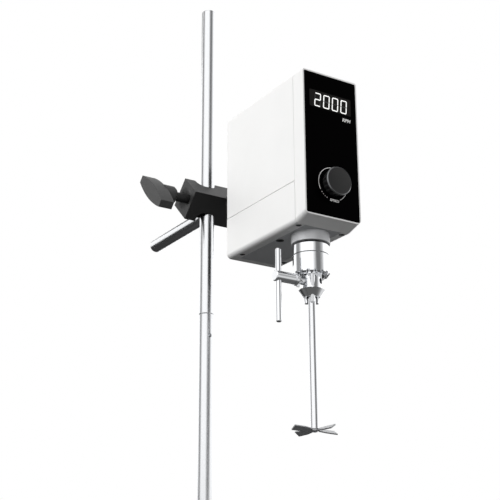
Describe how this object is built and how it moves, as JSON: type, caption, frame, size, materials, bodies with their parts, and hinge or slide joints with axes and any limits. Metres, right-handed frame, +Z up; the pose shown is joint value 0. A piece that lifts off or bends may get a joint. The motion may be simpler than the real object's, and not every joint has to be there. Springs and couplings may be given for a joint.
{
  "type": "overhead stirrer",
  "caption": "Overhead laboratory stirrer: motor head with speed knob and display on a clamped support rod and a rod stand, with keyed chuck, stirring shaft and bladed propeller.",
  "frame": {"origin": "on the bench surface, under the axis of the stand rod, at the underside of the base's rubber mat", "axes": "+Z up along the stand rod; -Y to the front, where the panel faces; +X to the right of someone who looks at the rear"},
  "size_m": [0.2, 0.4375, 0.748],
  "materials": {
    "rubber": "matt moulded rubber",
    "base_paint": "powder-coated plate",
    "zinc_steel": "plain bright steel",
    "black_steel": "blackened steel",
    "rod_steel": "ground and polished stainless steel",
    "clamp_black": "black coated die casting",
    "black_plastic": "moulded black plastic",
    "knob_plastic": "satin dark grey plastic",
    "brass": "turned brass",
    "aluminium": "milled aluminium",
    "white_plastic": "smooth white moulded plastic",
    "panel_black": "black printed front panel",
    "window_dark": "smoked display window",
    "board_green": "glass-fibre board",
    "grey_paint": "grey coated sheet steel",
    "shroud_metal": "turned and satin anodised aluminium",
    "gear_nylon": "natural nylon",
    "winding": "laminated core with windings",
    "chuck_chrome": "polished chrome-plated steel",
    "key_chrome": "plated steel",
    "shaft_steel": "polished stainless steel",
    "propeller_steel": "stainless sheet, shaded"
  },
  "bodies": {
    "base": {"base_mat": "rubber", "base_plate": "base_paint", "base_screw": "zinc_steel"},
    "stand_rods": {"lower_rod": "rod_steel", "upper_rod": "rod_steel"},
    "clamp": {"clamp_body": "clamp_black"},
    "rod_wing": {"rod_clamp_screw": "zinc_steel", "rod_wing_knob": "black_plastic", "rod_pad": "brass"},
    "support_wing": {"support_clamp_screw": "zinc_steel", "support_wing_knob": "black_plastic", "support_pad": "brass"},
    "arm": {"support_rod": "rod_steel", "rod_bolt": "zinc_steel"},
    "head": {"rod_socket": "aluminium", "front_bezel": "white_plastic", "front_panel": "panel_black", "display_window": "window_dark", "display_module": "black_plastic", "control_board": "board_green", "board_screws": "zinc_steel", "speed_pot": "zinc_steel", "upper_shell": "white_plastic", "lower_shell": "white_plastic", "bottom_plate": "grey_paint", "rear_cover": "black_plastic", "shell_screws": "black_steel", "cover_screws": "zinc_steel", "power_inlet": "black_plastic", "switch_frame": "black_plastic", "power_board": "board_green", "power_parts": "black_plastic", "chassis_plate": "aluminium", "chassis_posts": "aluminium", "motor_plate": "aluminium", "spindle_housing": "shroud_metal", "spindle_seal": "rubber", "lower_bearing": "zinc_steel", "upper_bearing": "zinc_steel", "motor_case": "zinc_steel", "motor_cap": "zinc_steel", "motor_stator": "winding", "motor_bearings": "zinc_steel"},
    "knob": {"speed_knob": "knob_plastic", "speed_pot_shaft": "zinc_steel"},
    "rocker": {"switch_rocker": "black_plastic"},
    "spindle_body": {"spindle": "zinc_steel", "drive_gear": "gear_nylon", "bearing_races": "zinc_steel", "chuck_body": "chuck_chrome"},
    "motor_body": {"motor_rotor": "black_steel", "motor_pinion": "brass"},
    "sleeve": {"chuck_sleeve": "chuck_chrome"},
    "jaw_1": {"chuck_jaw_1": "chuck_chrome"},
    "jaw_2": {"chuck_jaw_2": "chuck_chrome"},
    "jaw_3": {"chuck_jaw_3": "chuck_chrome"},
    "key": {"chuck_key": "key_chrome"},
    "cross_bar": {"key_bar": "key_chrome"},
    "shaft": {"stirring_shaft": "shaft_steel", "propeller": "propeller_steel"}
  },
  "joints": [
    {"name": "stand_swivel", "type": "hinge", "parent": "base", "child": "stand_rods", "pos_m": [0, 0, 0.012], "axis": [0, 0, 1], "range_deg": [-180, 180]},
    {"name": "height_slide", "type": "slide", "parent": "stand_rods", "child": "clamp", "axis": [0, 0, 1], "range_m": [-0.2, 0.2]},
    {"name": "rod_wing_turn", "type": "hinge", "parent": "clamp", "child": "rod_wing", "pos_m": [-0.03, 0, 0.508], "axis": [-1, 0, 0], "range_deg": [0, 360]},
    {"name": "support_wing_turn", "type": "hinge", "parent": "clamp", "child": "support_wing", "pos_m": [0.05, 0, 0.508], "axis": [1, 0, 0], "range_deg": [0, 360]},
    {"name": "reach_slide", "type": "slide", "parent": "clamp", "child": "arm", "axis": [0, 1, 0], "range_m": [-0.12, 0.03]},
    {"name": "head_roll", "type": "hinge", "parent": "arm", "child": "head", "pos_m": [0.0185, -0.0665, 0.508], "axis": [0, -1, 0], "range_deg": [-90, 90]},
    {"name": "speed_turn", "type": "hinge", "parent": "head", "child": "knob", "pos_m": [0.0185, -0.2065, 0.4624], "axis": [0, 1, 0], "range_deg": [-225, 75]},
    {"name": "power_rock", "type": "hinge", "parent": "head", "child": "rocker", "pos_m": [0.0185, -0.0685, 0.4717], "axis": [1, 0, 0], "range_deg": [0, 16]},
    {"name": "spindle_spin", "type": "hinge", "parent": "head", "child": "spindle_body", "pos_m": [0.0185, -0.168, 0.4287], "axis": [0, 0, 1], "continuous": true},
    {"name": "motor_spin", "type": "hinge", "parent": "head", "child": "motor_body", "pos_m": [0.0185, -0.1392, 0.4887], "axis": [0, 0, 1], "continuous": true},
    {"name": "sleeve_turn", "type": "hinge", "parent": "spindle_body", "child": "sleeve", "pos_m": [0.0185, -0.168, 0.38], "axis": [0, 0, 1], "range_deg": [0, 360]},
    {"name": "key_turn", "type": "hinge", "parent": "spindle_body", "child": "key", "pos_m": [0.0185, -0.168, 0.3744], "axis": [1, 0, 0], "range_deg": [0, 960]},
    {"name": "key_bar_slide", "type": "slide", "parent": "key", "child": "cross_bar", "axis": [0, 0, 1], "range_m": [0, 0.038]},
    {"name": "shaft_slide", "type": "slide", "parent": "spindle_body", "child": "shaft", "axis": [0, 0, 1], "range_m": [-0.02, 0]},
    {"name": "jaw_1_slide", "type": "slide", "parent": "spindle_body", "child": "jaw_1", "axis": [0.1736, 0, 0.9848], "range_m": [0, 0.0015]},
    {"name": "jaw_2_slide", "type": "slide", "parent": "spindle_body", "child": "jaw_2", "axis": [-0.0868, 0.1504, 0.9848], "range_m": [0, 0.0015]},
    {"name": "jaw_3_slide", "type": "slide", "parent": "spindle_body", "child": "jaw_3", "axis": [-0.0868, -0.1504, 0.9848], "range_m": [0, 0.0015]}
  ],
  "couplings": [
    {"joint": "motor_spin", "follows": "spindle_spin", "ratio": -3},
    {"joint": "key_turn", "follows": "sleeve_turn", "ratio": 2.6667},
    {"joint": "jaw_1_slide", "follows": "sleeve_turn", "m_per_rad": 0.00023849},
    {"joint": "jaw_2_slide", "follows": "sleeve_turn", "m_per_rad": 0.00023849},
    {"joint": "jaw_3_slide", "follows": "sleeve_turn", "m_per_rad": 0.00023849}
  ]
}
